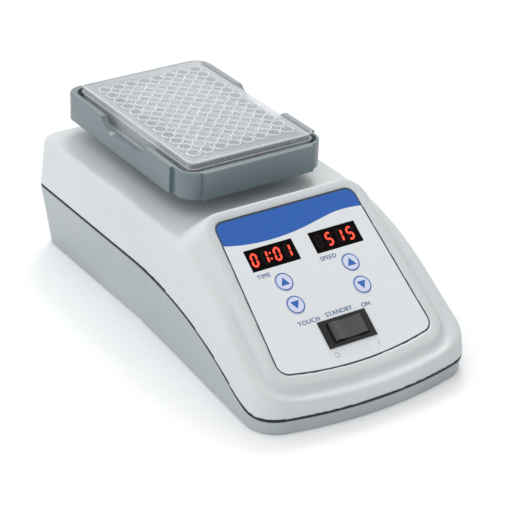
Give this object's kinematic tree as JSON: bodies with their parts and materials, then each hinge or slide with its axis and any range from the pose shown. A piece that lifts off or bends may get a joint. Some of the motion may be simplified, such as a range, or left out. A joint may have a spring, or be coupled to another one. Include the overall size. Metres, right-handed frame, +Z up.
{
  "type": "microplate mixer",
  "caption": "Benchtop orbital mixer for one microplate: sloped control panel, rocker switch, low deck, tray on a sprung drive, lidded 96-well plate.",
  "frame": {"origin": "on the bench, under the middle of the housing's length and width", "axes": "+X to the right seen from the control panel, -Y towards the user, +Z up"},
  "size_m": [0.1422, 0.2639, 0.1042],
  "materials": {
    "cover": "fine satin, light cool grey",
    "base": "satin, mid grey",
    "tray": "satin, slate grey",
    "overlay": "printed film, pale grey",
    "window": "dark red-black filter glass look",
    "display": "display module",
    "key": "pale lavender with a blue ring",
    "black": "black, glossy",
    "rubber": "black rubber",
    "plate": "clear polystyrene",
    "lid": "clear polystyrene",
    "steel": "bright steel",
    "zinc": "plated steel",
    "alu": "machined",
    "brass": "tinned contact",
    "motor": "painted motor can",
    "board": "glass-fibre board",
    "transformer": "potted",
    "capacitor": "sleeved can",
    "switch": "switch body"
  },
  "bodies": {
    "housing": {"lower_housing": "base", "top_cover": "cover", "parting_gasket": "rubber", "rubber_feet": "rubber", "case_screws": "steel", "panel_overlay": "overlay", "time_window": "window", "speed_window": "window", "time_display": "display", "speed_display": "display", "control_board": "board", "key_switches": "switch", "board_screws": "steel", "rocker_bezel": "black", "rocker_terminals": "brass", "power_inlet": "black", "inlet_pins": "brass", "inlet_screws": "steel", "power_board": "board", "transformer": "transformer", "capacitor": "capacitor", "base_screws": "steel", "touch_bracket": "zinc", "touch_switch": "switch", "switch_screws": "steel", "isolation_mounts": "rubber", "guide_bolts": "steel", "boot": "rubber"},
    "motor_carriage": {"motor_plate": "zinc", "motor": "motor", "motor_screws": "steel"},
    "drive_shaft": {"drive_shaft": "steel", "counterweight": "brass", "counterweight_screw": "steel", "bearing_inner_ring": "steel", "pin_screw": "steel"},
    "tray": {"tray": "tray", "tray_hub": "alu", "tray_screws": "steel", "bearing_outer_ring": "steel"},
    "microplate": {"microplate": "plate"},
    "microplate_lid": {"microplate_lid": "lid"},
    "time_up_key": {"time_up_key": "key"},
    "time_down_key": {"time_down_key": "key"},
    "speed_up_key": {"speed_up_key": "key"},
    "speed_down_key": {"speed_down_key": "key"},
    "rocker": {"rocker": "black"},
    "touch_plunger": {"touch_plunger": "black"}
  },
  "joints": [
    {"name": "tray_press", "type": "slide", "parent": "housing", "child": "motor_carriage", "axis": [0, 0, 1], "range_m": [-0.0015, 0], "stiffness_N_per_m": 15000, "springref_m": 0.002, "deforming": ["boot", "isolation_mounts"]},
    {"name": "shaft_spin", "type": "hinge", "parent": "motor_carriage", "child": "drive_shaft", "pos_m": [0, 0.0572, 0.06], "axis": [0, 0, 1], "continuous": true},
    {"name": "tray_orbit", "type": "hinge", "parent": "drive_shaft", "child": "tray", "pos_m": [0, 0.059, 0.076], "axis": [0, 0, 1], "continuous": true},
    {"name": "microplate_lift", "type": "slide", "parent": "tray", "child": "microplate", "axis": [0, 0, 1], "range_m": [0, 0.03]},
    {"name": "lid_lift", "type": "slide", "parent": "microplate", "child": "microplate_lid", "axis": [0, 0, 1], "range_m": [0, 0.02]},
    {"name": "rocker_tilt", "type": "hinge", "parent": "housing", "child": "rocker", "pos_m": [0, -0.09785, 0.03319], "axis": [0, 0.8141, 0.5807], "range_deg": [-8, 8]},
    {"name": "touch_plunger_slide", "type": "slide", "parent": "housing", "child": "touch_plunger", "axis": [0, 0, 1], "range_m": [-0.0015, 0]},
    {"name": "time_up_key_press", "type": "slide", "parent": "housing", "child": "time_up_key", "axis": [0, 0.5807, -0.8141], "range_m": [0, 0.0004], "stiffness_N_per_m": 2500, "springref_m": -0.0002},
    {"name": "time_down_key_press", "type": "slide", "parent": "housing", "child": "time_down_key", "axis": [0, 0.5807, -0.8141], "range_m": [0, 0.0004], "stiffness_N_per_m": 2500, "springref_m": -0.0002},
    {"name": "speed_up_key_press", "type": "slide", "parent": "housing", "child": "speed_up_key", "axis": [0, 0.5807, -0.8141], "range_m": [0, 0.0004], "stiffness_N_per_m": 2500, "springref_m": -0.0002},
    {"name": "speed_down_key_press", "type": "slide", "parent": "housing", "child": "speed_down_key", "axis": [0, 0.5807, -0.8141], "range_m": [0, 0.0004], "stiffness_N_per_m": 2500, "springref_m": -0.0002}
  ],
  "couplings": [
    {"joint": "tray_orbit", "follows": "shaft_spin", "ratio": -1},
    {"joint": "touch_plunger_slide", "follows": "tray_press", "ratio": 1}
  ]
}
